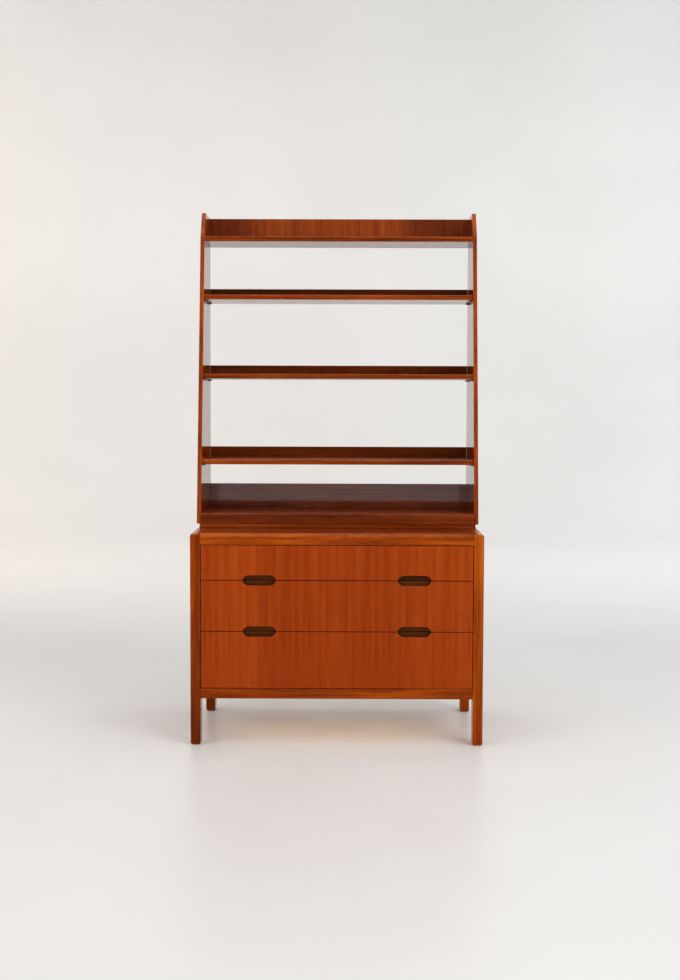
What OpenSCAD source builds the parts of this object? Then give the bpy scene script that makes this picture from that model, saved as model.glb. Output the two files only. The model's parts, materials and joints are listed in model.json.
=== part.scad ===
// Teak bookcase on a three-drawer chest: open hutch with adjustable shelves.
// Millimetres. X runs left to right, Y front to back, Z up.
// The origin is the centre of the footprint, on the floor.

/* [Overall] */
// Width over the chest and over the hutch
width = 860; // [760:10:960]
// Depth of the chest from post front to post back
depth = 500; // [460:10:560]

/* [Chest] */
// Height of the chest top above the floor
chest_h = 624.5; // [600:0.5:660]
// Width of each corner post
post_w = 30; // [26:1:36]
// Depth of each corner post
post_d = 50; // [40:1:60]
// Rounding of each post's outer vertical edge
post_round = 6; // [2:0.5:10]
// Thickness of the side panels
side_t = 18; // [14:1:20]
// How far the side panels sit in from the posts' outer faces
side_inset = 4; // [2:1:8]
// Thickness of the chest top board
top_t = 20; // [16:1:24]
// Height of the rounded rail along the top's front edge
lip_h = 32.5; // [28:0.5:36]
// Depth of the top and bottom front rails
rail_d = 26; // [26:1:32]
// Rounding of the top rail's upper front edge
lip_round = 12; // [6:1:13]
// Height of the bottom rail's underside above the floor
rail_z = 138; // [120:1:150]
// Height of the bottom front rail
rail_h = 30; // [26:1:34]

/* [Drawers] */
// Height of the joint between the top and middle drawers
joint_top_z = 487.8; // [470:0.1:500]
// Height of the joint between the middle and bottom drawers
joint_low_z = 337; // [320:1:350]
// Gap between neighbouring drawer fronts
front_gap = 2; // [1.5:0.5:3]
// Thickness of the drawer fronts, face board and inner board together
front_t = 19; // [18:1:22]
// Thickness of the drawer sides and backs
box_t = 12; // [10:1:14]
// Thickness of the drawer bottoms
bottom_t = 4; // [3:1:6]
// Distance from the cabinet's centre to each finger pull's centre
pull_x = 227; // [180:1:260]
// Width of a finger pull over its two points
pull_w = 99; // [80:1:120]
// Height of a finger pull over both drawer fronts
pull_h = 28; // [22:1:34]
// Depth of a finger pull, which is the thickness of the drawer fronts' face boards
pull_depth = 12; // [10:1:14]
// Height of the side-hung runners
runner_h = 14; // [10:1:18]

/* [Hutch] */
// Overall height of the hutch's side panels above the floor
hutch_top_z = 1600.5; // [1560:0.5:1640]
// How far the top back board stays below the side panels' tops
top_back_drop = 2; // [0:0.5:6]
// Height of the plinth that lifts the hutch off the chest
plinth_h = 13; // [10:1:20]
// How far the plinth sits in from the side panels' outer faces
plinth_inset = 8.5; // [5:0.5:16]
// Thickness of the hutch's side panels
hutch_t = 13; // [12:0.5:16]
// Depth of the side panels at the bottom
hutch_d_low = 314; // [290:1:330]
// Depth of the side panels at the top board
hutch_d_high = 178; // [160:1:200]
// Depth of the side panels at their top edge
hutch_d_top = 135; // [120:1:150]
// Height of the fixed top board's surface above the floor
top_board_z = 1523.5; // [1490:0.5:1540]
// Thickness of the hutch's boards
board_t = 15.5; // [14:0.5:18]
// Height of the rail under the bottom board's front edge, board included
bottom_rail_h = 30.5; // [26:0.5:34]
// Thickness of the rails along the boards' back edges
back_t = 12; // [10:1:15]
// Height of the back rail above the bottom board
bottom_back_h = 76; // [60:1:80]

/* [Shelves] */
// Heights of the three adjustable shelves' undersides
shelf_z = [817.5, 1080.5, 1326.5]; // [700:0.5:1450]
// Thickness of the adjustable shelves
shelf_t = 15; // [12:0.5:18]
// How far the shelves sit behind the side panels' front edges
shelf_setback = 5; // [3:0.5:10]
// Height of the lip along each shelf's back edge
lip_back_h = 32; // [20:1:40]
// Gap between a shelf's end and the side panel
shelf_gap = 0.5; // [0.5:0.1:1]
// Radius of a shelf-pin hole
pin_hole_r = 2.5; // [2.5:0.5:3]
// Vertical distance between neighbouring shelf-pin holes
hole_pitch = 32; // [25:1:40]
// Holes in each group, above and below included
hole_count = 5; // [3:2:5]
// Depth of the shelf-pin holes
hole_depth = 9.5; // [8:0.5:10]

/* [Hidden] */
$fn = 32;
eps = 1;
half_w = width / 2;
front_y = -depth / 2;
back_y = depth / 2;
SIDES = [-1, 1];

// chest
inner_w = width - 2 * post_w;
bay_y0 = front_y + post_d;
bay_y1 = back_y - post_d;
side_out = half_w - side_inset;
side_in = side_out - side_t;
top_z = chest_h - top_t;
panel_t = 6;
back_in = 4;
panel_y = back_y - back_in - panel_t;
rear_rail_d = 14;
rear_rail_h = 34;
dust_z = rail_z + 10;
dust_t = 5;

// drawers: [underside, top] of each front, from the top drawer down
fronts = [[joint_top_z + front_gap / 2, chest_h - lip_h - front_gap / 2],
          [joint_low_z + front_gap / 2, joint_top_z - front_gap / 2],
          [rail_z + rail_h + front_gap / 2, joint_low_z - front_gap / 2]];
front_w = inner_w - front_gap;
box_clear = 2;
box_out = inner_w / 2 - box_clear;
box_in = box_out - box_t;
box_back_y = bay_y1 - 10;
box_lift = 6;
box_drop = [11, 14, 16];
groove_in = 5;
bottom_up = 6;
runner_clear = 0.4;
slot_depth = 6;
slot_front = bay_y0 - 10;
stop_d = 9.5;
pull_point = pull_h / 2;
front_groove = 3;

// hutch
hutch_z = chest_h + plinth_h;
hutch_in = half_w - hutch_t;
plinth_out = half_w - plinth_inset;
plinth_t = 18;
low_y = back_y - hutch_d_low;
high_y = back_y - hutch_d_high;
tip_y = back_y - hutch_d_top;
rail_y = back_y - back_t;
bottom_board_z = hutch_z + bottom_rail_h;
bottom_rail_d = 20;
front_slope = (high_y - low_y) / (top_board_z - hutch_z);

// shelves
shelf_back_y = back_y - 2;
pin_r = pin_hole_r - 0.1;
pin_front_in = 45;
pin_rear_y = back_y - 40;
tab_l = 8;
tab_w = 8;
tab_h = 4;
collar_r = 4.5;
collar_t = 1.2;
hole_span = (hole_count - 1) / 2;

// screws that hold the hutch down, up through the chest top into the plinth's wider ends
plinth_end_w = 30;
screw_r = 2.2;
screw_y = [for (k = [0 : 2]) low_y + 40 + 102 * k];
screw_x = inner_w / 2 - 1;
screw_top = hutch_z - 2;
screw_head_r = 4.2;
screw_head_h = 3;

// Y of the side panels' sloping front edge at height z, below the top board
function edge_y(z) = low_y + front_slope * (z - hutch_z);

// Y of the front row of shelf-pin holes at height z
function pin_front_y(z) = edge_y(z) + pin_front_in;

// Height of a hole's centre: the pin's flat tab carries the shelf's underside
function hole_z(i, k) = shelf_z[i] - tab_h / 2 + k * hole_pitch;

// Underside and height of drawer i's box
function box_z(i) = fronts[i][0] + box_lift;
function box_h(i) = fronts[i][1] - box_drop[i] - box_z(i);
function runner_z(i) = box_z(i) + box_h(i) / 2;

// A block given by its two opposite corners
module block(low, high) {
    translate(low) cube(high - low);
}

// A block that reaches equally far left and right of the centre
module centred(half, y0, y1, z0, z1) {
    block([-half, y0, z0], [half, y1, z1]);
}

// A block on one side of the cabinet, between two distances from the centre
module sided(s, x0, x1, y0, y1, z0, z1) {
    block([min(s * x0, s * x1), y0, z0], [max(s * x0, s * x1), y1, z1]);
}

// Corner post with its outer vertical edge rounded; s is left or right, e is front or rear
module post(s, e) {
    x = s * (half_w - post_round);
    y = e * (depth / 2 - post_round);
    color("peru") linear_extrude(chest_h) union() {
        difference() {
            translate([s * (half_w - post_w / 2), e * (depth / 2 - post_d / 2)])
                square([post_w, post_d], center = true);
            translate([x + s * post_round, y + e * post_round])
                square(2 * post_round, center = true);
        }
        translate([x, y]) circle(post_round);
    }
}

module side_panel(s) {
    color("sienna") sided(s, side_in, side_out, bay_y0, bay_y1, rail_z, chest_h);
}

module chest_top() {
    color("sienna") difference() {
        union() {
            centred(inner_w / 2, front_y + rail_d, back_y - back_in, top_z, chest_h);
            centred(side_in, bay_y0, bay_y1, top_z, chest_h);
        }
        screws(screw_r + 0.3, top_z - eps, chest_h + eps);
    }
}

// Rail with a rounded upper front edge, which forms the chest top's visible edge
module top_front_rail() {
    z0 = chest_h - lip_h;
    color("peru") union() {
        centred(inner_w / 2, front_y + lip_round, front_y + rail_d, z0, chest_h);
        centred(inner_w / 2, front_y, front_y + rail_d, z0, chest_h - lip_round);
        translate([-inner_w / 2, front_y + lip_round, chest_h - lip_round])
            rotate([0, 90, 0]) cylinder(h = inner_w, r = lip_round);
    }
}

module bottom_front_rail() {
    color("peru") centred(inner_w / 2, front_y, front_y + rail_d, rail_z, rail_z + rail_h);
}

module top_rear_rail() {
    color("burlywood")
        centred(inner_w / 2, panel_y - rear_rail_d, panel_y, top_z - rear_rail_h, top_z);
}

module bottom_rear_rail() {
    color("burlywood")
        centred(inner_w / 2, panel_y - rear_rail_d, panel_y, rail_z, rail_z + rear_rail_h);
}

module back_panel() {
    color("burlywood") centred(inner_w / 2, panel_y, panel_y + panel_t, rail_z, top_z);
}

module dust_panel() {
    color("burlywood")
        centred(inner_w / 2, front_y + rail_d, panel_y - rear_rail_d, dust_z, dust_z + dust_t);
}

// Side-hung runner that fits the slot in a drawer's side
module runner(i, s) {
    z = runner_z(i);
    color("wheat")
        sided(s, box_out - slot_depth + 0.5, side_in, bay_y0, bay_y1, z - runner_h / 2, z + runner_h / 2);
}

// Blocks behind the drawers' sides, on the runners' ends
module drawer_stops() {
    color("wheat") for (i = [0 : 2], s = SIDES) {
        z = runner_z(i);
        sided(s, box_in - 6, box_out - slot_depth + 0.5, bay_y1 - stop_d, bay_y1,
              z - runner_h / 2, z + runner_h / 2);
    }
}

// Outline of one finger pull, centred on the joint between two drawer fronts
module pull_outline() {
    w = pull_w / 2;
    h = pull_h / 2;
    polygon([[-w, 0], [-w + pull_point, h], [w - pull_point, h],
             [w, 0], [w - pull_point, -h], [-w + pull_point, -h]]);
}

// Both finger pulls at joint height z, cut right through the face board
module pulls(z) {
    for (s = SIDES) translate([s * pull_x, front_y + pull_depth + eps, z])
        rotate([90, 0, 0]) linear_extrude(pull_depth + 2 * eps) pull_outline();
}

// Face board of a drawer front
module drawer_front(i) {
    color("chocolate") difference() {
        centred(front_w / 2, front_y, front_y + pull_depth, fronts[i][0], fronts[i][1]);
        if (i < 2) pulls(i == 0 ? joint_top_z : joint_low_z);
        if (i > 0) pulls(i == 1 ? joint_top_z : joint_low_z);
    }
}

// Inner board behind the face, which closes the finger pulls and holds the base's front edge
module drawer_inner_front(i) {
    z = box_z(i) + bottom_up;
    color("saddlebrown") difference() {
        centred(front_w / 2, front_y + pull_depth, front_y + front_t, fronts[i][0], fronts[i][1]);
        centred(box_in + groove_in, front_y + front_t - front_groove, front_y + front_t + eps,
                z, z + bottom_t);
    }
}

// Drawer side with the slot for its runner outside and the groove for the base inside
module drawer_side(i, s) {
    z = runner_z(i);
    slot = runner_h / 2 + runner_clear;
    g = box_z(i) + bottom_up;
    color("wheat") difference() {
        sided(s, box_in, box_out, front_y + front_t, box_back_y, box_z(i), box_z(i) + box_h(i));
        sided(s, box_out - slot_depth, box_out + eps, slot_front, box_back_y + eps, z - slot, z + slot);
        sided(s, box_in - eps, box_in + groove_in, front_y + front_t - eps, box_back_y + eps,
              g, g + bottom_t);
    }
}

module drawer_back(i) {
    z = box_z(i) + bottom_up + bottom_t;
    color("wheat")
        centred(box_in, box_back_y - box_t, box_back_y, z, box_z(i) + box_h(i) - 4);
}

module drawer_base(i) {
    z = box_z(i) + bottom_up;
    color("wheat")
        centred(box_in + groove_in, front_y + front_t - front_groove, box_back_y, z, z + bottom_t);
}

module plinth_front() {
    color("sienna") centred(plinth_out, low_y + 3, low_y + 3 + plinth_t, chest_h, hutch_z);
}

module plinth_rear() {
    color("sienna") centred(plinth_out, back_y - 4 - plinth_t, back_y - 4, chest_h, hutch_z);
}

module plinth_end(s) {
    color("sienna") difference() {
        sided(s, plinth_out - plinth_end_w, plinth_out, low_y + 3 + plinth_t, back_y - 4 - plinth_t,
              chest_h, hutch_z);
        screws(screw_r + 0.05, chest_h - eps, screw_top + 0.5);
    }
}

// Side panel: sloping front edge, steeper above the top board, with shelf-pin holes inside
module hutch_side(s) {
    color("sienna") difference() {
        translate([s > 0 ? hutch_in : -half_w, 0, 0])
            rotate([90, 0, 90]) linear_extrude(hutch_t)
                polygon([[low_y, hutch_z], [back_y, hutch_z], [back_y, hutch_top_z],
                         [tip_y, hutch_top_z], [high_y, top_board_z]]);
        for (i = [0 : len(shelf_z) - 1], k = [-hole_span : hole_span], rear = [0, 1]) {
            z = hole_z(i, k);
            translate([s * (hutch_in - eps), rear ? pin_rear_y : pin_front_y(z), z])
                rotate([0, s * 90, 0]) cylinder(h = hole_depth + eps, r = pin_hole_r, $fn = 20);
        }
    }
}

module hutch_bottom_board() {
    color("sienna")
        centred(hutch_in, low_y + 1 + bottom_rail_d, rail_y, bottom_board_z - board_t, bottom_board_z);
}

module hutch_bottom_front_rail() {
    color("sienna")
        centred(hutch_in, low_y + 1, low_y + 1 + bottom_rail_d, hutch_z, bottom_board_z);
}

module hutch_bottom_back_rail() {
    color("saddlebrown")
        centred(hutch_in, rail_y, back_y, hutch_z, bottom_board_z + bottom_back_h);
}

module hutch_top_board() {
    color("sienna") centred(hutch_in, high_y + 1, rail_y, top_board_z - board_t, top_board_z);
}

module hutch_top_back_board() {
    color("saddlebrown")
        centred(hutch_in, rail_y, back_y, top_board_z - board_t, hutch_top_z - top_back_drop);
}

module shelf(i) {
    z = shelf_z[i];
    color("sienna")
        centred(hutch_in - shelf_gap, edge_y(z + shelf_t) + shelf_setback, shelf_back_y, z, z + shelf_t);
}

module shelf_lip(i) {
    z = shelf_z[i] + shelf_t;
    color("saddlebrown")
        centred(hutch_in - shelf_gap, shelf_back_y - back_t, shelf_back_y, z, z + lip_back_h);
}

// Shelf pin: shank in the hole, collar against the panel, flat tab under the shelf
module shelf_pin(s, y, z) {
    translate([s * hutch_in, y, z]) rotate([0, s * 90, 0]) cylinder(h = hole_depth - 0.5, r = pin_r);
    intersection() {
        translate([s * hutch_in, y, z]) rotate([0, -s * 90, 0]) cylinder(h = collar_t, r = collar_r);
        sided(s, hutch_in - collar_t, hutch_in, y - collar_r, y + collar_r,
              z - collar_r, z + tab_h / 2);
    }
    sided(s, hutch_in - tab_l, hutch_in - collar_t / 2, y - tab_w / 2, y + tab_w / 2,
          z - tab_h / 2, z + tab_h / 2);
}

module shelf_pins(i) {
    z = hole_z(i, 0);
    color("gold") for (s = SIDES, y = [pin_front_y(z), pin_rear_y]) shelf_pin(s, y, z);
}

// Six upright screw shanks, or the holes for them, at the plinth's two ends
module screws(r, z0, z1) {
    for (s = SIDES, y = screw_y) translate([s * screw_x, y, z0]) cylinder(h = z1 - z0, r = r, $fn = 20);
}

module hutch_screws() {
    color("silver") union() {
        screws(screw_r, top_z, screw_top);
        screws(screw_head_r, top_z - screw_head_h, top_z);
    }
}

post(-1, -1);  // post_front_left
post(1, -1);  // post_front_right
post(-1, 1);  // post_rear_left
post(1, 1);  // post_rear_right
side_panel(-1);  // side_panel_left
side_panel(1);  // side_panel_right
chest_top();
top_front_rail();
bottom_front_rail();
top_rear_rail();
bottom_rear_rail();
back_panel();
dust_panel();
runner(0, -1);  // runner_top_left
runner(0, 1);  // runner_top_right
runner(1, -1);  // runner_middle_left
runner(1, 1);  // runner_middle_right
runner(2, -1);  // runner_bottom_left
runner(2, 1);  // runner_bottom_right
drawer_stops();
drawer_front(0);  // drawer_top_front
drawer_inner_front(0);  // drawer_top_inner_front
drawer_side(0, -1);  // drawer_top_side_left
drawer_side(0, 1);  // drawer_top_side_right
drawer_back(0);  // drawer_top_back
drawer_base(0);  // drawer_top_base
drawer_front(1);  // drawer_middle_front
drawer_inner_front(1);  // drawer_middle_inner_front
drawer_side(1, -1);  // drawer_middle_side_left
drawer_side(1, 1);  // drawer_middle_side_right
drawer_back(1);  // drawer_middle_back
drawer_base(1);  // drawer_middle_base
drawer_front(2);  // drawer_bottom_front
drawer_inner_front(2);  // drawer_bottom_inner_front
drawer_side(2, -1);  // drawer_bottom_side_left
drawer_side(2, 1);  // drawer_bottom_side_right
drawer_back(2);  // drawer_bottom_back
drawer_base(2);  // drawer_bottom_base
plinth_front();
plinth_rear();
plinth_end(-1);  // plinth_left
plinth_end(1);  // plinth_right
hutch_side(-1);  // hutch_side_left
hutch_side(1);  // hutch_side_right
hutch_bottom_board();
hutch_bottom_front_rail();
hutch_bottom_back_rail();
hutch_top_board();
hutch_top_back_board();
shelf(0);  // shelf_low
shelf(1);  // shelf_middle
shelf(2);  // shelf_high
shelf_lip(0);  // shelf_lip_low
shelf_lip(1);  // shelf_lip_middle
shelf_lip(2);  // shelf_lip_high
shelf_pins(0);  // shelf_pins_low
shelf_pins(1);  // shelf_pins_middle
shelf_pins(2);  // shelf_pins_high
hutch_screws();
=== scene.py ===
"""Looks of a teak bookcase on a three-drawer chest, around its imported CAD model.

Metres, +Z up, -Y is the front.
"""

import json
import math

import bmesh
import bpy
from mathutils import Matrix, Vector


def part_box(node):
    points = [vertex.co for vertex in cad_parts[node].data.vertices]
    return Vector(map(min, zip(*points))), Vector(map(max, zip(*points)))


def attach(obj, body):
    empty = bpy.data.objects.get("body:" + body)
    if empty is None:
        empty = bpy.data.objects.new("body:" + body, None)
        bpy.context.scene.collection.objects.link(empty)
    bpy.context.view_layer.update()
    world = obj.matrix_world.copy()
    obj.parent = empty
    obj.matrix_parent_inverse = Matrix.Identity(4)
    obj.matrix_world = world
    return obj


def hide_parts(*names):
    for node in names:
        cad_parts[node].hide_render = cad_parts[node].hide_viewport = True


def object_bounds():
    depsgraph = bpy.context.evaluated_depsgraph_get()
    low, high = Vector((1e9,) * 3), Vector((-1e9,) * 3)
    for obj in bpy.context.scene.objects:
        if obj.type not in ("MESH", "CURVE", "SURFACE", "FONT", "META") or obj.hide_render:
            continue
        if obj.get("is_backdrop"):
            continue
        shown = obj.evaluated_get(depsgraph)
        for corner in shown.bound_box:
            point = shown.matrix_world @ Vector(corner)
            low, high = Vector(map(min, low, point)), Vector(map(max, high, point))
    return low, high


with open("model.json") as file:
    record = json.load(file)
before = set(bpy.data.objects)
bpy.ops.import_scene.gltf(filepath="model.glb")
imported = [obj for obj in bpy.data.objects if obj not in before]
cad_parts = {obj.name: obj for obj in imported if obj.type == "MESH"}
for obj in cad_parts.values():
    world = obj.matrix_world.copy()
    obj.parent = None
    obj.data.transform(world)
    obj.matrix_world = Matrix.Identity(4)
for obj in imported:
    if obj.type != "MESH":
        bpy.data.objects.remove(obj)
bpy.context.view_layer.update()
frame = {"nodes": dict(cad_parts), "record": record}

NODES = frame["nodes"]
BODY_OF = {node: body for body, members in frame["record"]["behaviour"]["bodies"].items()
           for node in members}
MM = 0.001
AXES = {"x": 0, "y": 1, "z": 2}
SIDES = {"left": -1, "right": 1}
DRAWERS = ["top", "middle", "bottom"]
SHELVES = ["low", "middle", "high"]

# ---------------------------------------------------------------- camera

PHOTO_LONG_SIDE = 980
FOCAL_PIXELS = 1380
SENSOR_WIDTH = 36.0
CAMERA_AT = Vector((0.0299, -4.2586, 1.0028))
CAMERA_PITCH = 0.0621
CAMERA_YAW = 0.0054
CAMERA_ROLL = 0.0031


def make_camera():
    """Camera at the photograph's viewing angle, level but for a slight downward pitch."""
    data = bpy.data.cameras.new("Camera")
    data.sensor_width = SENSOR_WIDTH
    data.lens = FOCAL_PIXELS / PHOTO_LONG_SIDE * SENSOR_WIDTH
    camera = bpy.data.objects.new("Camera", data)
    bpy.context.scene.collection.objects.link(camera)
    right = Vector((math.cos(CAMERA_YAW), math.sin(CAMERA_YAW), 0))
    level = Vector((-math.sin(CAMERA_YAW), math.cos(CAMERA_YAW), 0))
    up = Vector((0, 0, 1))
    forward = level * math.cos(CAMERA_PITCH) - up * math.sin(CAMERA_PITCH)
    up = up * math.cos(CAMERA_PITCH) + level * math.sin(CAMERA_PITCH)
    rolled_right = right * math.cos(CAMERA_ROLL) + up * math.sin(CAMERA_ROLL)
    rolled_up = up * math.cos(CAMERA_ROLL) - right * math.sin(CAMERA_ROLL)
    turn = Matrix((rolled_right, rolled_up, -forward)).transposed()
    camera.matrix_world = Matrix.Translation(CAMERA_AT) @ turn.to_4x4()
    bpy.context.scene.camera = camera


make_camera()

# ---------------------------------------------------------------- materials


class Graph:
    """A material's node tree, with short calls for the nodes used here."""

    def __init__(self, name):
        self.material = bpy.data.materials.new(name)
        self.material.use_nodes = True
        self.tree = self.material.node_tree
        self.tree.nodes.clear()

    def node(self, kind, inputs=None, **settings):
        made = self.tree.nodes.new("ShaderNode" + kind)
        for key, value in settings.items():
            setattr(made, key, value)
        for key, value in (inputs or {}).items():
            if isinstance(value, bpy.types.NodeSocket):
                self.tree.links.new(value, made.inputs[key])
            else:
                made.inputs[key].default_value = value
        return made

    def math(self, operation, a, b=0.0, c=0.0, clamp=False):
        return self.node("Math", {0: a, 1: b, 2: c}, operation=operation, use_clamp=clamp).outputs[0]

    def vector(self, x, y, z):
        return self.node("CombineXYZ", {"X": x, "Y": y, "Z": z}).outputs[0]

    def attribute(self, name):
        return self.node("Attribute", attribute_name=name).outputs["Fac"]

    def noise(self, vector, scale, detail=2.0, roughness=0.5):
        inputs = {"Vector": vector, "Scale": scale, "Detail": detail, "Roughness": roughness}
        return self.node("TexNoise", inputs, noise_dimensions="3D").outputs["Fac"]

    def sway(self, tone, value, amount):
        """The tone, moved up or down by the value's distance from one half times an amount."""
        return self.math("MULTIPLY_ADD", self.math("SUBTRACT", value, 0.5), amount, tone)

    def remap(self, value, low, high, to_low=0.0, to_high=1.0):
        inputs = {"Value": value, "From Min": low, "From Max": high, "To Min": to_low, "To Max": to_high}
        return self.node("MapRange", inputs, clamp=True).outputs[0]

    def ramp(self, value, stops):
        made = self.node("ValToRGB", {"Fac": value})
        elements = made.color_ramp.elements
        while len(elements) < len(stops):
            elements.new(0.5)
        for element, (place, colour) in zip(elements, stops):
            element.position = place
            element.color = (*colour, 1)
        return made.outputs["Color"]

    def mix(self, share, a, b):
        made = self.tree.nodes.new("ShaderNodeMix")
        made.data_type = "RGBA"
        for socket, value in ((made.inputs[0], share), (made.inputs[6], a), (made.inputs[7], b)):
            if isinstance(value, bpy.types.NodeSocket):
                self.tree.links.new(value, socket)
            else:
                socket.default_value = (*value, 1)
        return made.outputs[2]

    def bump(self, strength, distance, height):
        return self.node("Bump", {"Strength": strength, "Distance": distance, "Height": height}).outputs[0]

    def finish(self, colour, roughness, normal=None, fixed=None):
        """Principled surface; fixed values go straight on its sockets."""
        inputs = {"Base Color": colour, "Roughness": roughness, **(fixed or {})}
        if normal is not None:
            inputs["Normal"] = normal
        shader = self.node("BsdfPrincipled", inputs)
        output = self.node("OutputMaterial")
        self.tree.links.new(shader.outputs[0], output.inputs["Surface"])
        return self.material


# Noises of the wood: scale per metre, and where given detail and roughness.
DRIFT = (2.2,)
BANDS = (46.0, 3.0, 0.55)
LINES = (260.0, 3.0, 0.6)
HAIR = (900.0, 2.0, 0.6)
CLOUD = (5.0,)
ENDS = (6.0,)
PORES = (1500.0, 1.0)
RUBBING = (34.0, 3.0)
GLOSS = (14.0, 3.0)
LACQUER = (55.0,)
# How far each of them moves the wood's tone, and how much it is squeezed along or across the grain.
BAND_SHARE, LINE_SHARE, HAIR_SHARE, LEAF_SHARE, PIECE_SHARE = 1.1, 0.75, 0.35, 0.22, 0.12
FINE_STRETCH, PORE_STRETCH, CLOUD_STRETCH, DRIFT_ACROSS = 0.35, 0.03, 0.5, 1.6
PIECE_OFFSET = 0.7
LEAF_START = 40  # whole leaves, so that the pattern has no negative places
END_WANDER = 0.08
NOISE_SPAN = (0.3, 0.7)  # where most of a noise's values lie
PORE_SPAN = (0.62, 0.75)
RUB_SPAN = (0.4, 0.7)
RUB_COLOUR, RUB_ROUGHNESS = 0.4, 0.12
PORE_HEIGHT, LINE_HEIGHT, LACQUER_HEIGHT = -0.7, 0.35, 0.25
WOOD_BUMP = 0.4 * MM
COAT_ROUGHNESS = 0.08

PLAIN = (1.0, 1.0, 1.0)
TEAK_TINT = (1.0, 0.45, 0.16)
TEAK_WEAR = (0.46, 0.13, 0.02)


def wood(name, grain, stops, *, lacquer=1.0, leaf=0.0, figure=1.0, wear=TEAK_WEAR, pores=0.5, cloudy=0.5,
         roughness=(0.22, 0.34), coat=0.0, level=0.3, tint=TEAK_TINT, stretch=0.045, wander=0.05, relief=0.2,
         ends=None):
    """Wood with its grain along one axis. Its parts:

    leaf: width of book-matched veneer strips, or 0 for solid wood
    figure, cloudy, wander: strength of the bands, of broad clouds and of the grain's slow drift
    lacquer, relief: share of waves in the lacquer, and strength of the whole bump
    level, tint, coat: reflection at right angles, its colour, and weight of a clear coat
    ends: (from, to, depth) darkens the wood by depth over this distance from the middle along x, as painted
    shade towards the ends
    """
    g = Graph(name)
    place = g.node("TexCoord").outputs["Object"]
    xyz = g.node("SeparateXYZ", {"Vector": place})
    along = xyz.outputs[AXES[grain]]
    across = [xyz.outputs[k] for k in range(3) if k != AXES[grain]]
    piece = g.node("ObjectInfo").outputs["Random"]
    if leaf:
        place_on_leaves = g.math("ADD", across[0], LEAF_START * leaf)
        index = g.math("FLOOR", g.math("DIVIDE", place_on_leaves, leaf))
        leaf_tone = g.node("TexWhiteNoise", {"W": index}, noise_dimensions="1D").outputs["Value"]
        across[0] = g.math("PINGPONG", place_on_leaves, leaf)
    else:
        across[0] = g.math("ADD", across[0], g.math("MULTIPLY", piece, PIECE_OFFSET))
    # the figure wanders slowly to and fro along the grain
    slow = g.vector(g.math("MULTIPLY", across[0], DRIFT_ACROSS),
                    g.math("MULTIPLY", across[1], DRIFT_ACROSS), along)
    drift = g.math("MULTIPLY", g.math("SUBTRACT", g.noise(slow, *DRIFT), 0.5), wander)
    bent = [g.math("ADD", value, drift) for value in across]

    def run(squeeze):
        return g.vector(bent[0], bent[1], g.math("MULTIPLY", along, squeeze))

    lines = g.noise(run(stretch * FINE_STRETCH), *LINES)
    hair = g.noise(run(stretch * FINE_STRETCH), *HAIR)
    cloud = g.noise(g.vector(across[0], across[1], g.math("MULTIPLY", along, CLOUD_STRETCH)), *CLOUD)
    tone = g.sway(0.5, g.noise(run(stretch), *BANDS), BAND_SHARE * figure)
    tone = g.sway(tone, lines, LINE_SHARE)
    tone = g.sway(tone, hair, HAIR_SHARE)
    tone = g.sway(tone, cloud, cloudy)
    # adds the mesh's own tone: shifts of the wood on most pieces, painted light and shade on the posts, feet
    # and lips
    tone = g.math("ADD", tone, g.attribute("tone"))
    # painted shade: the wood darkens towards both ends along x
    if ends:
        start, stop, depth = ends
        reach = g.math("ABSOLUTE", g.math("MULTIPLY_ADD", g.noise(place, *ENDS), END_WANDER, xyz.outputs[0]))
        tone = g.math("SUBTRACT", tone, g.remap(reach, start, stop, 0.0, depth))
    if leaf:
        tone = g.sway(tone, leaf_tone, LEAF_SHARE)
    tone = g.math("MULTIPLY_ADD", g.math("SUBTRACT", piece, 0.5), PIECE_SHARE, tone, clamp=True)
    colour = g.ramp(tone, stops)
    # open pores: short dark strokes along the grain
    pore = g.remap(g.noise(run(PORE_STRETCH), *PORES), *PORE_SPAN)
    colour = g.mix(g.math("MULTIPLY", pore, pores), colour, stops[0][1])
    # rubbed edges, from the share that the mesh stores on its rounded edges
    rubbed = g.math("MULTIPLY", g.attribute("edge"), g.remap(g.noise(place, *RUBBING), *RUB_SPAN))
    colour = g.mix(g.math("MULTIPLY", rubbed, RUB_COLOUR), colour, wear)
    gloss = g.remap(g.noise(place, *GLOSS), *NOISE_SPAN, *roughness)
    gloss = g.math("MULTIPLY_ADD", rubbed, RUB_ROUGHNESS, gloss)
    height = g.math("MULTIPLY_ADD", pore, PORE_HEIGHT, g.math("MULTIPLY", lines, LINE_HEIGHT))
    height = g.math("MULTIPLY_ADD", g.noise(place, *LACQUER), LACQUER_HEIGHT * lacquer, height)
    fixed = {"Specular IOR Level": level, "Specular Tint": (*tint, 1)}
    if coat:
        fixed.update({"Coat Weight": coat, "Coat Roughness": COAT_ROUGHNESS})
    return g.finish(colour, gloss, g.bump(relief, WOOD_BUMP, height), fixed)


def plain_wood(name, grain, stops):
    """Unlacquered inner wood."""
    return wood(name, grain, stops, lacquer=0.3, wear=stops[-1][1], pores=0.25, roughness=(0.48, 0.62),
                level=0.35, tint=PLAIN)


DULLING = (240.0, 4.0)
DULL_SPAN = (0.35, 0.7)
DULL_ROUGHNESS = 0.25
TURNING = (2600.0, 1.0)
TURNING_STRENGTH = 0.1
METAL_BUMP = 0.2 * MM


def metal(name, colour, dark, roughness):
    """Slightly dulled metal with fine turning marks."""
    g = Graph(name)
    place = g.node("TexCoord").outputs["Object"]
    dull = g.remap(g.noise(place, *DULLING), *DULL_SPAN)
    bump = g.bump(TURNING_STRENGTH, METAL_BUMP, g.noise(place, *TURNING))
    gloss = g.remap(dull, 0, 1, roughness, roughness + DULL_ROUGHNESS)
    return g.finish(g.mix(dull, colour, dark), gloss, bump, {"Metallic": 1.0})


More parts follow.
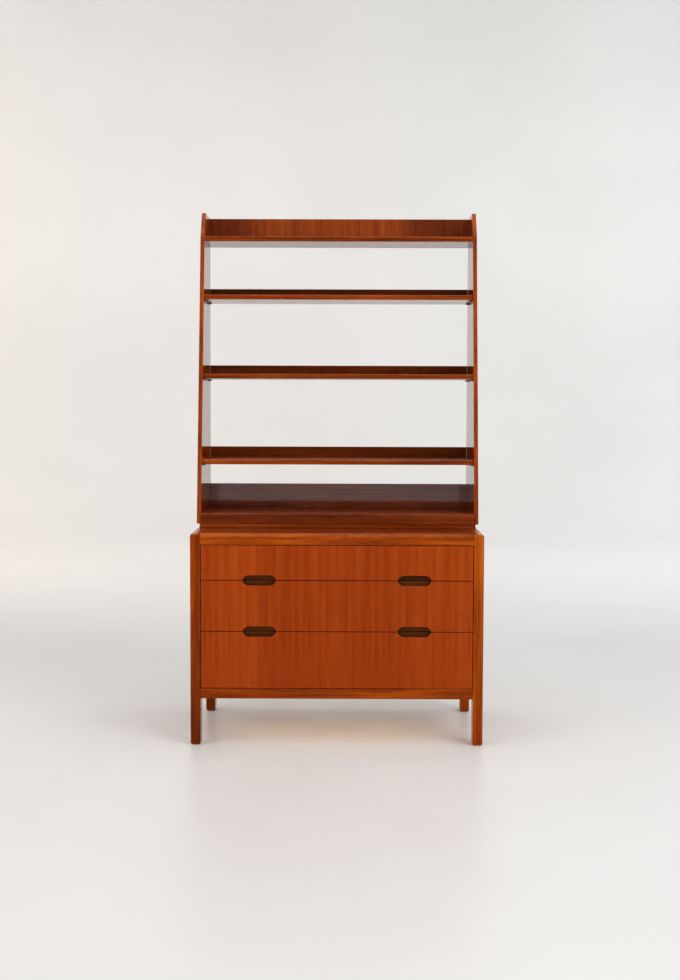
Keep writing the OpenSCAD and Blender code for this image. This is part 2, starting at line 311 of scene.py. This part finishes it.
# Colour stops from the darkest to the lightest streaks of each wood.
TEAK_FRONT = [(0.0, (0.19, 0.019, 0.0015)), (0.35, (0.31, 0.036, 0.003)), (0.65, (0.40, 0.056, 0.005)),
              (1.0, (0.53, 0.10, 0.012))]
TEAK_FRAME = [(0.0, (0.10, 0.011, 0.001)), (0.35, (0.26, 0.034, 0.002)), (0.65, (0.42, 0.072, 0.004)),
              (1.0, (0.60, 0.15, 0.014))]
TEAK_BOARD = [(0.0, (0.07, 0.008, 0.001)), (0.35, (0.16, 0.02, 0.0015)), (0.65, (0.27, 0.041, 0.004)),
              (1.0, (0.40, 0.085, 0.012))]
# the lips' teak, made darker as painted shade under the shelf above
TEAK_LIP_SHADE = [(0.0, (0.03, 0.0035, 0.0007)), (0.35, (0.085, 0.011, 0.001)), (0.65, (0.15, 0.021, 0.002)),
             (1.0, (0.24, 0.044, 0.006))]
# the pulls' hollows and the inner fronts behind them: teak darkened near black, painted shade in the recess
TEAK_PULL_SHADE = [(0.0, (0.016, 0.004, 0.001)), (0.4, (0.05, 0.011, 0.002)), (0.7, (0.09, 0.02, 0.003)),
             (1.0, (0.15, 0.04, 0.008))]
BEECH = [(0.0, (0.36, 0.2, 0.095)), (0.4, (0.52, 0.32, 0.17)), (0.7, (0.62, 0.41, 0.23)),
         (1.0, (0.72, 0.51, 0.31))]
BIRCH = [(0.0, (0.36, 0.19, 0.085)), (0.4, (0.54, 0.32, 0.155)), (0.7, (0.64, 0.41, 0.22)),
         (1.0, (0.74, 0.51, 0.3))]
LEAF = 117 * MM

MATERIALS = {
    "frame_x": wood("teak_frame_along_x", "x", TEAK_FRAME, figure=1.1, relief=0.12),
    "frame_z": wood("teak_frame_along_z", "z", TEAK_FRAME, figure=1.1, relief=0.08, roughness=(0.13, 0.2)),
    "board_x": wood("teak_board_along_x", "x", TEAK_BOARD, roughness=(0.14, 0.24), tint=(1.0, 0.6, 0.3)),
    "side_z": wood("teak_side_along_z", "z", TEAK_FRAME, roughness=(0.08, 0.12), level=0.4,
                   tint=(1.0, 0.6, 0.35), relief=0.06, wander=0.02),
    "panel_z": wood("teak_panel_along_z", "z", TEAK_FRONT, leaf=LEAF, figure=0.8, cloudy=0.1, wander=0.012,
                    relief=0.08, roughness=(0.2, 0.25)),
    "shelf_x": wood("teak_shelf_along_x", "x", TEAK_FRAME, roughness=(0.13, 0.18), level=0.35,
                    tint=(1.0, 0.5, 0.2), relief=0.08),
    "lip_x": wood("teak_lip_shaded_along_x", "x", TEAK_LIP_SHADE),
    "back_x": wood("teak_back_along_x", "x", TEAK_BOARD, roughness=(0.04, 0.06), level=0.9, tint=PLAIN,
                   coat=0.9, relief=0.03),
    "base_x": wood("teak_base_along_x", "x", TEAK_BOARD, roughness=(0.26, 0.34), level=0.003, figure=0.45,
                   cloudy=0.2),
    # the top back board: painted shade at both ends, beside the hutch sides
    "back_z": wood("teak_back_along_z", "z", TEAK_BOARD, tint=(1.0, 0.7, 0.45), figure=0.6, cloudy=0.1,
                   wander=0.02, ends=(0.2, 0.3, 0.4)),
    "front": wood("teak_front_leaves", "z", TEAK_FRONT, leaf=LEAF, figure=0.6, cloudy=0.08, wander=0.01),
    "rim": wood("teak_pull_rim", "x", TEAK_FRONT, level=0.6, tint=PLAIN, roughness=(0.12, 0.2)),
    "pull": wood("teak_pull_hollow_shade", "x", TEAK_PULL_SHADE, roughness=(0.3, 0.45)),
    "beech_x": plain_wood("beech_along_x", "x", BEECH),
    "beech_y": plain_wood("beech_along_y", "y", BEECH),
    "birch_x": plain_wood("birch_ply_along_x", "x", BIRCH),
    "brass": metal("aged_brass_pins", (0.3, 0.25, 0.2), (0.16, 0.13, 0.11), 0.35),
    "steel": metal("steel_screws", (0.6, 0.6, 0.58), (0.38, 0.37, 0.35), 0.3),
}

# ---------------------------------------------------------------- mesh code

ARC_STEPS = 5
END_STEPS = 4
TINY = 0.05 * MM


def rounded_outline(corners, radii, inset=0.0):
    """Points round a convex outline, each with its roundness.

    The outline is given counter-clockwise, and inset is how far inside it the points lie.
    """
    points = []
    for i, here in enumerate(corners):
        before = (here - corners[i - 1]).normalized()
        after = (corners[(i + 1) % len(corners)] - here).normalized()
        inward = Vector((-before.y, before.x)) + Vector((-after.y, after.x))
        spread = 1 + Vector((-before.y, before.x)).dot(Vector((-after.y, after.x)))
        turn = math.atan2(before.x * after.y - before.y * after.x, before.dot(after))
        radius = max(radii[i] - inset, TINY)
        centre = here + inward * ((inset + radius) / spread)
        start = Vector((before.y, -before.x))
        for k in range(ARC_STEPS + 1):
            a = turn * k / ARC_STEPS
            cos, sin = math.cos(a), math.sin(a)
            out = Vector((start.x * cos - start.y * sin, start.x * sin + start.y * cos))
            points.append((centre + out * radius, math.sin(math.pi * k / ARC_STEPS)))
    return points


def placed(axis, u, v, w):
    """The point at (u, v) on the section and w along the axis."""
    return Vector({"x": (w, u, v), "y": (u, w, v), "z": (u, v, w)}[axis])


def to_object(name, bm):
    """A new object in the scene with this mesh."""
    mesh = bpy.data.meshes.new(name)
    bm.to_mesh(mesh)
    bm.free()
    made = bpy.data.objects.new(name, mesh)
    bpy.context.scene.collection.objects.link(made)
    return made


def loft(name, axis, rings):
    """Closed mesh through rings of (points, place along the axis, roundness), with flat ends."""
    bm = bmesh.new()
    edge = bm.verts.layers.float.new("edge")
    loops = []
    for points, w, share in rings:
        loop = []
        for point, own in points:
            vertex = bm.verts.new(placed(axis, point.x, point.y, w))
            vertex[edge] = max(own, share)
            loop.append(vertex)
        loops.append(loop)
    for lower, upper in zip(loops, loops[1:]):
        for k in range(len(lower)):
            bm.faces.new((lower[k - 1], lower[k], upper[k], upper[k - 1]))
    bm.faces.new(loops[0])
    bm.faces.new(loops[-1])
    bmesh.ops.recalc_face_normals(bm, faces=bm.faces)
    for face in bm.faces:
        face.smooth = True
    return to_object(name, bm)


def unrounded(points):
    """The same points, with no roundness for the wear to act on."""
    return [(point, 0.0) for point, own in points]


def lumber(name, axis, corners, radii, low, high, end):
    """A length of wood with this section, its long edges rounded by radii and its ends by end."""
    rings = []
    for k in range(END_STEPS + 1):
        a = math.pi / 2 * k / END_STEPS
        outline = rounded_outline(corners, radii, end * (1 - math.sin(a)))
        if k == 0:  # the flat end is not worn
            outline = unrounded(outline)
        rings.append((outline, end * (1 - math.cos(a)), math.sin(2 * a)))
    bottom = [(points, low + rise, share) for points, rise, share in rings]
    top = [(points, high - rise, share) for points, rise, share in reversed(rings)]
    return loft(name, axis, bottom + top)


def unworn(piece, k, places):
    """Takes the wear off the vertices that lie on flat faces at these places along axis k."""
    shares = piece.data.attributes["edge"].data
    for vertex in piece.data.vertices:
        if min(abs(vertex.co[k] - place) for place in places) < TINY:
            shares[vertex.index].value = 0.0


def rectangle(u0, v0, u1, v1):
    return [Vector((u0, v0)), Vector((u1, v0)), Vector((u1, v1)), Vector((u0, v1))]


def dress(piece, node, material, tone=0.0):
    """Gives a new piece its shading, tone, material, slot and body, and hides the CAD node it stands in for.

    A higher tone makes its wood lighter.
    """
    modifier = piece.modifiers.new("flats", "WEIGHTED_NORMAL")
    modifier.keep_sharp = True
    modifier.weight = 100
    values = piece.data.attributes.new("tone", "FLOAT", "POINT").data
    values.foreach_set("value", [tone] * len(values))
    if len(piece.data.materials) == 0:
        piece.data.materials.append(MATERIALS[material])
    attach(piece, BODY_OF[node])
    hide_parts(node)


def board(node, axis, material, radii, end=1.0, tone=0.0):
    """A rounded board in place of a block-shaped CAD node.

    radii run (low, low), (high, low), (high, high), (low, high) over the two other axes.
    They and end are in mm.
    """
    low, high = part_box(node)
    u, v = [k for k in range(3) if k != AXES[axis]]
    corners = rectangle(low[u], low[v], high[u], high[v])
    radii = [radius * MM for radius in radii]
    piece = lumber(node + "_wood", axis, corners, radii, low[AXES[axis]], high[AXES[axis]], end * MM)
    dress(piece, node, material, tone)


def cut(piece, cutters):
    """Cuts solids out of a piece for good. The cut faces take the cutters' materials."""
    for cutter in cutters:
        modifier = piece.modifiers.new("cut", "BOOLEAN")
        modifier.operation = "DIFFERENCE"
        modifier.solver = "EXACT"
        modifier.material_mode = "TRANSFER"
        modifier.object = cutter
    bpy.context.view_layer.update()
    evaluated = piece.evaluated_get(bpy.context.evaluated_depsgraph_get())
    mesh = bpy.data.meshes.new_from_object(evaluated)
    piece.modifiers.clear()
    piece.data = mesh
    for cutter in cutters:
        bpy.data.objects.remove(cutter)


# ---------------------------------------------------------------- chest

EASED = [0.8] * 4  # mm, the four edges of a board whose edges show little
LET_IN = 0.4  # mm, the ends of a board that stops against its neighbours
POST_EDGE = 5.0 * MM
POST_SIDE_EDGE = 3.0 * MM
POST_END = 8.0 * MM
# painted light: the left posts' wood darker and the right posts' lighter, as if lit from the right
POST_PAINTED_LIGHT = {-1: -0.2, 1: 0.2}
# painted shade: each foot's wood darkened near the floor, the left one more
FOOT_PAINTED_SHADE = {-1: -0.2, 1: -0.1}


def post(name, side, front):
    """Corner post: a soft edge at the chest's corner, crisper others and rounded ends; its wood carries
    painted light, lighter on the right post and darker on the left, and painted shade darkening the foot.
    """
    low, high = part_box(name)
    radii = [POST_SIDE_EDGE] * 4
    radii[{(-1, True): 0, (1, True): 1, (1, False): 2, (-1, False): 3}[(side, front)]] = POST_EDGE
    corners = rectangle(low.x, low.y, high.x, high.y)
    piece = lumber(name + "_wood", "z", corners, radii, low.z, high.z, POST_END)
    dress(piece, name, "frame_z", POST_PAINTED_LIGHT[side])
    tones = piece.data.attributes["tone"].data
    for vertex in piece.data.vertices:
        # painted shade on the foot, near the floor
        if vertex.co.z < low.z + POST_END + TINY:
            tones[vertex.index].value = FOOT_PAINTED_SHADE[side]


for side_name, side in SIDES.items():
    post("post_front_" + side_name, side, True)
    post("post_rear_" + side_name, side, False)
    board("side_panel_" + side_name, "z", "panel_z", EASED)
    board("plinth_" + side_name, "y", "board_x", EASED)

board("top_front_rail", "x", "frame_x", [2, 0.6, 0.6, 13], end=LET_IN)
board("bottom_front_rail", "x", "frame_x", [2.5, 1, 1, 1.5], end=LET_IN, tone=-0.12)
board("plinth_front", "x", "board_x", [2.5, 0.8, 0.8, 1.2], tone=0.1)
board("plinth_rear", "x", "board_x", EASED)

# ---------------------------------------------------------------- drawer fronts

PULL_WIDTH = 99 * MM
PULL_HEIGHT = 28 * MM
PULL_FROM_CENTRE = 227 * MM
PULL_CHAMFER = 0.8  # mm, as are the next two
PULL_GROW = 1.0
PULL_TOP_ROUND = {"upper": 17, "lower": 12}
PULL_SHOULDER = 0.4, 0.6  # of half the height: in from the tip, and down from the middle
FRONT_EDGE = 1.3 * MM
FRONT_GAP = 0.8 * MM
FRONT_TONE = {"top": -0.05, "middle": -0.05, "bottom": -0.11}


def pull_outline(x, z, grow):
    """The finger pull's outline round its centre, counter-clockwise.

    It is a long slot whose ends swell to a point.
    """
    w, h, point = PULL_WIDTH / 2 + grow, PULL_HEIGHT / 2 + grow, PULL_HEIGHT / 2
    inward, down = PULL_SHOULDER[0] * point, PULL_SHOULDER[1] * h
    foot = [(-w, 0), (-w + inward, -down), (-w + point, -h), (w - point, -h), (w - inward, -down)]
    return [Vector((x + side * a, z + side * b)) for side in (1, -1) for a, b in foot]


def pull_cutter(x, z, front, depth, top_round):
    """The hollow of a finger pull: a chamfered rim, then walls that flare to hook the fingertips behind.

    The radii and the steps (how far back, how far outwards) are in mm.
    """
    tip, shoulder, bottom_round = 1.2, 16, 12
    radii = [tip, shoulder, bottom_round, bottom_round, shoulder,
             tip, shoulder, top_round, top_round, shoulder]
    proud, flare_from, flare_to = 3.0, 5.0, 7.0
    steps = [(-proud, PULL_CHAMFER + proud), (0.0, PULL_CHAMFER), (PULL_CHAMFER, 0.0), (flare_from, 0.0),
             (flare_to, 1.0), (depth / MM + 1, 2.0)]
    rings = []
    for back, grow in steps:
        corners = pull_outline(x, z, (grow + PULL_GROW) * MM)
        outline = rounded_outline(corners, [radius * MM for radius in radii])
        rings.append((unrounded(outline), front + back * MM, 0.0))
    cutter = loft("cutter", "y", rings)
    cutter.data.materials.append(MATERIALS["rim"])
    cutter.data.materials.append(MATERIALS["pull"])
    # the walls past the rim take the near-black pull wood: painted shade in the hollow
    for face in cutter.data.polygons:
        face.material_index = 1 if face.center.y > front + PULL_CHAMFER * MM else 0
    return cutter


# the heights of the joints between fronts, which the pulls are cut across
joints = [(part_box("drawer_%s_front" % a)[0].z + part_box("drawer_%s_front" % b)[1].z) / 2
          for a, b in zip(DRAWERS, DRAWERS[1:])]

for i, drawer in enumerate(DRAWERS):
    node = "drawer_%s_front" % drawer
    low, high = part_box(node)
    sill = FRONT_GAP if drawer == DRAWERS[-1] else 0
    head = FRONT_GAP if drawer == DRAWERS[0] else 0
    outline = rectangle(low.x + FRONT_GAP, low.z + sill, high.x - FRONT_GAP, high.z - head)
    face = lumber(node + "_wood", "y", outline, [FRONT_EDGE] * 4, low.y, high.y, FRONT_EDGE)
    pulled = [(z, row) for k, (z, row) in enumerate(zip(joints, PULL_TOP_ROUND)) if i in (k, k + 1)]
    face.data.materials.append(MATERIALS["front"])
    cut(face, [pull_cutter(s * PULL_FROM_CENTRE, z, low.y, high.y - low.y, PULL_TOP_ROUND[row])
               for z, row in pulled for s in SIDES.values()])
    unworn(face, 1, [low.y])
    dress(face, node, "front", FRONT_TONE[drawer])

# ---------------------------------------------------------------- hutch

side_low, side_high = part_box("hutch_side_left")
top_board_low, top_board_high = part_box("hutch_top_board")
kink_y = top_board_low.y - 1 * MM
kink_z = top_board_high.z
tip_y = min(v.co.y for v in NODES["hutch_side_left"].data.vertices if v.co.z > side_high.z - TINY)
front_slope = (kink_y - side_low.y) / (kink_z - side_low.z)
HOLE_RADIUS = 2.5 * MM
HOLE_DEPTH = 9.5 * MM
HOLE_PITCH = 32 * MM
HOLE_SIDES = 24
HOLES_EACH_WAY = 2
DRILL_PROUD = 2 * MM
COLLAR_RADIUS = 4.5 * MM
TAB_HALF = 2 * MM
SIDE_ROUND = 2.2 * MM
PROFILE_ROUND = [1.5, 1.5, 3, 4, 14]  # mm: foot front, foot rear, top rear, tip, kink
SIDE_TONE = -0.14
SHELF_TONE = {"low": -0.19, "middle": -0.29, "high": -0.13}
# painted shade: each lip's wood lighter or darker by how much shade falls on it
LIP_PAINTED_SHADE = {"low": 0.07, "middle": -0.1, "high": -0.28}


def hole_cutter(x, y, z, side):
    """A round hole from the panel's inner face outwards."""
    outline = [(Vector((y + HOLE_RADIUS * math.cos(a), z + HOLE_RADIUS * math.sin(a))), 0.0)
               for a in [math.tau * k / HOLE_SIDES for k in range(HOLE_SIDES)]]
    ends = sorted([x - side * DRILL_PROUD, x + side * HOLE_DEPTH])
    return loft("hole", "x", [(outline, ends[0], 0.0), (outline, ends[1], 0.0)])


def joined(pieces):
    """Several separate solids as one object."""
    bm = bmesh.new()
    for piece in pieces:
        bm.from_mesh(piece.data)
        bpy.data.objects.remove(piece)
    return to_object("joined", bm)


for side_name, side in SIDES.items():
    node = "hutch_side_" + side_name
    low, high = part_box(node)
    corners = [(low.y, low.z), (high.y, low.z), (high.y, high.z), (tip_y, high.z), (kink_y, kink_z)]
    profile = [Vector(corner) for corner in corners]
    radii = [radius * MM for radius in PROFILE_ROUND]
    panel = lumber(node + "_wood", "x", profile, radii, low.x, high.x, SIDE_ROUND)
    inner_x = high.x if side < 0 else low.x
    holes = []
    for shelf in SHELVES:
        pins_low, pins_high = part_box("shelf_pins_" + shelf)
        middle_z = pins_high.z - TAB_HALF
        for k in range(-HOLES_EACH_WAY, HOLES_EACH_WAY + 1):
            z = middle_z + k * HOLE_PITCH
            front_y = pins_low.y + COLLAR_RADIUS + k * HOLE_PITCH * front_slope
            for y in (front_y, pins_high.y - COLLAR_RADIUS):
                holes.append(hole_cutter(inner_x, y, z, side))
    panel.data.materials.append(MATERIALS["side_z"])
    drill = joined(holes)
    drill.data.materials.append(MATERIALS["side_z"])
    cut(panel, [drill])
    unworn(panel, 0, [low.x, high.x])
    dress(panel, node, "side_z", SIDE_TONE)

board("hutch_bottom_front_rail", "x", "board_x", [1.5, 0.6, 0.6, 2.5], end=LET_IN, tone=-0.1)
board("hutch_bottom_board", "x", "base_x", [0.6] * 4, end=LET_IN)
board("hutch_bottom_back_rail", "x", "back_x", [1, 1, 1.5, 1.5], end=LET_IN)
board("hutch_top_board", "x", "shelf_x", [3, 0.6, 0.6, 3], end=LET_IN, tone=-0.28)
board("hutch_top_back_board", "x", "back_z", [1, 1, 2, 2], end=LET_IN, tone=0.15)
for shelf in SHELVES:
    board("shelf_" + shelf, "x", "shelf_x", [4, 1, 1, 4], end=0.8, tone=SHELF_TONE[shelf])
    board("shelf_lip_" + shelf, "x", "lip_x", [0.6, 0.6, 1.5, 2], end=0.8, tone=LIP_PAINTED_SHADE[shelf])

# ---------------------------------------------------------------- CAD nodes that stay, with eased edges

KEPT = {"chest_top": "board_x", "top_rear_rail": "beech_x", "bottom_rear_rail": "beech_x",
        "back_panel": "birch_x", "dust_panel": "birch_x", "drawer_stops": "beech_y", "hutch_screws": "steel"}
KEPT.update({"runner_%s_%s" % (d, s): "beech_y" for d in DRAWERS for s in SIDES})
KEPT.update({"drawer_%s_side_%s" % (d, s): "beech_y" for d in DRAWERS for s in SIDES})
KEPT.update({"drawer_%s_back" % d: "beech_x" for d in DRAWERS})
KEPT.update({"drawer_%s_base" % d: "birch_x" for d in DRAWERS})
# the inner fronts, seen through the pulls, take the same painted shade
KEPT.update({"drawer_%s_inner_front" % d: "pull" for d in DRAWERS})
KEPT.update({"shelf_pins_%s" % s: "brass" for s in SHELVES})
WOOD_EASE = 0.6 * MM
METAL_EASE = 0.25 * MM
EASE_SEGMENTS = 2
EASE_FROM_ANGLE = math.radians(40)
WELD_WITHIN = 0.01 * MM

for node, material in KEPT.items():
    kept = NODES[node]
    kept.data.materials.clear()
    kept.data.materials.append(MATERIALS[material])
    weld = kept.modifiers.new("weld", "WELD")
    weld.merge_threshold = WELD_WITHIN
    ease = kept.modifiers.new("ease", "BEVEL")
    ease.width = METAL_EASE if material in ("brass", "steel") else WOOD_EASE
    ease.segments = EASE_SEGMENTS
    ease.limit_method = "ANGLE"
    ease.angle_limit = EASE_FROM_ANGLE

# ---------------------------------------------------------------- studio

STUDIO_RADIUS = 6.2
STUDIO_CURVE = 2.4
STUDIO_HEIGHT = 6.0
STUDIO_SIDES = 96
FLOOR_RINGS = 6
CURVE_STEPS = 12
GROUND_DARK = (0.80, 0.80, 0.797)
GROUND_LIGHT = (0.83, 0.83, 0.827)
GROUND_ROUGHNESS = (0.32, 0.42)
GROUND_SHADE = (1.1,)
GROUND_GLOSS = (3.0,)
WORLD_COLOUR = (1.0, 0.99, 0.98, 1)
WORLD_STRENGTH = 0.58


def studio():
    """Round pale floor that curves up into a wall on every side: each view has the same plain ground."""
    profile = [(STUDIO_RADIUS * k / FLOOR_RINGS, 0.0) for k in range(FLOOR_RINGS + 1)]
    for k in range(1, CURVE_STEPS + 1):
        a = math.pi / 2 * k / CURVE_STEPS
        profile.append((STUDIO_RADIUS + STUDIO_CURVE * math.sin(a), STUDIO_CURVE * (1 - math.cos(a))))
    profile.append((STUDIO_RADIUS + STUDIO_CURVE, STUDIO_HEIGHT))
    bm = bmesh.new()
    centre = bm.verts.new((0, 0, 0))
    rings = [[bm.verts.new((r * math.cos(t), r * math.sin(t), z))
              for t in [math.tau * k / STUDIO_SIDES for k in range(STUDIO_SIDES)]] for r, z in profile[1:]]
    for k in range(STUDIO_SIDES):
        bm.faces.new((centre, rings[0][k - 1], rings[0][k]))
        for inner, outer in zip(rings, rings[1:]):
            bm.faces.new((inner[k - 1], outer[k - 1], outer[k], inner[k]))
    for face in bm.faces:
        face.smooth = True
    made = to_object("studio", bm)
    g = Graph("studio_ground")
    place = g.node("TexCoord").outputs["Object"]
    shade = g.remap(g.noise(place, *GROUND_SHADE), *NOISE_SPAN)
    gloss = g.remap(g.noise(place, *GROUND_GLOSS), *NOISE_SPAN, *GROUND_ROUGHNESS)
    made.data.materials.append(g.finish(g.mix(shade, GROUND_DARK, GROUND_LIGHT), gloss))
    made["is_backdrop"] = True


# name: (place, target, size, watts, colour, whether it shows in reflections)
LAMPS = {
    "key": ((2.6, -3.0, 3.4), (0, 0, 0.9), (2.4, 2.4), 72, (0.95, 0.985, 1.0), True),
    "fill": ((-3.4, -2.6, 2.2), (0, 0, 0.9), (2.6, 2.6), 28, (1.0, 0.87, 0.75), True),
    "top": ((0.0, -0.4, 4.6), (0, 0, 0), (3.4, 3.4), 50, (1.0, 0.985, 0.96), True),
    "wall_left": ((-3.0, 3.0, 3.6), (-3.6, 7.0, 1.4), (2.4, 1.6), 90, (1.0, 0.83, 0.71), True),
    "wall_right": ((3.0, 3.0, 3.6), (3.6, 7.0, 1.4), (2.4, 1.6), 88, (0.9, 0.97, 1.0), True),
    "low_front": ((0.0, -4.6, 1.0), (0, 0, 0.1), (3.4, 1.4), 22, (1.0, 0.9, 0.8), False),
    "under": ((0.0, -0.1, 0.14), (0.0, -0.1, 0.0), (0.66, 0.2), 0.23, (1.0, 0.65, 0.43), False),
}


def lamp(name, place, target, size, watts, colour, reflected):
    """Rectangular lamp that the camera doesn't see."""
    data = bpy.data.lights.new(name, "AREA")
    data.shape = "RECTANGLE"
    data.size, data.size_y = size
    data.energy = watts
    data.color = colour
    made = bpy.data.objects.new(name, data)
    bpy.context.scene.collection.objects.link(made)
    made.location = place
    made.rotation_euler = (Vector(target) - Vector(place)).to_track_quat("-Z", "Y").to_euler()
    made.visible_camera = False
    made.visible_glossy = reflected


studio()
for name, values in LAMPS.items():
    lamp(name, *values)
world = bpy.data.worlds.new("World")
bpy.context.scene.world = world
world.use_nodes = True
background = world.node_tree.nodes["Background"]
background.inputs["Color"].default_value = WORLD_COLOUR
background.inputs["Strength"].default_value = WORLD_STRENGTH
bpy.context.scene.view_settings.view_transform = "Standard"

# ---------------------------------------------------------------- end

low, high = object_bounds()
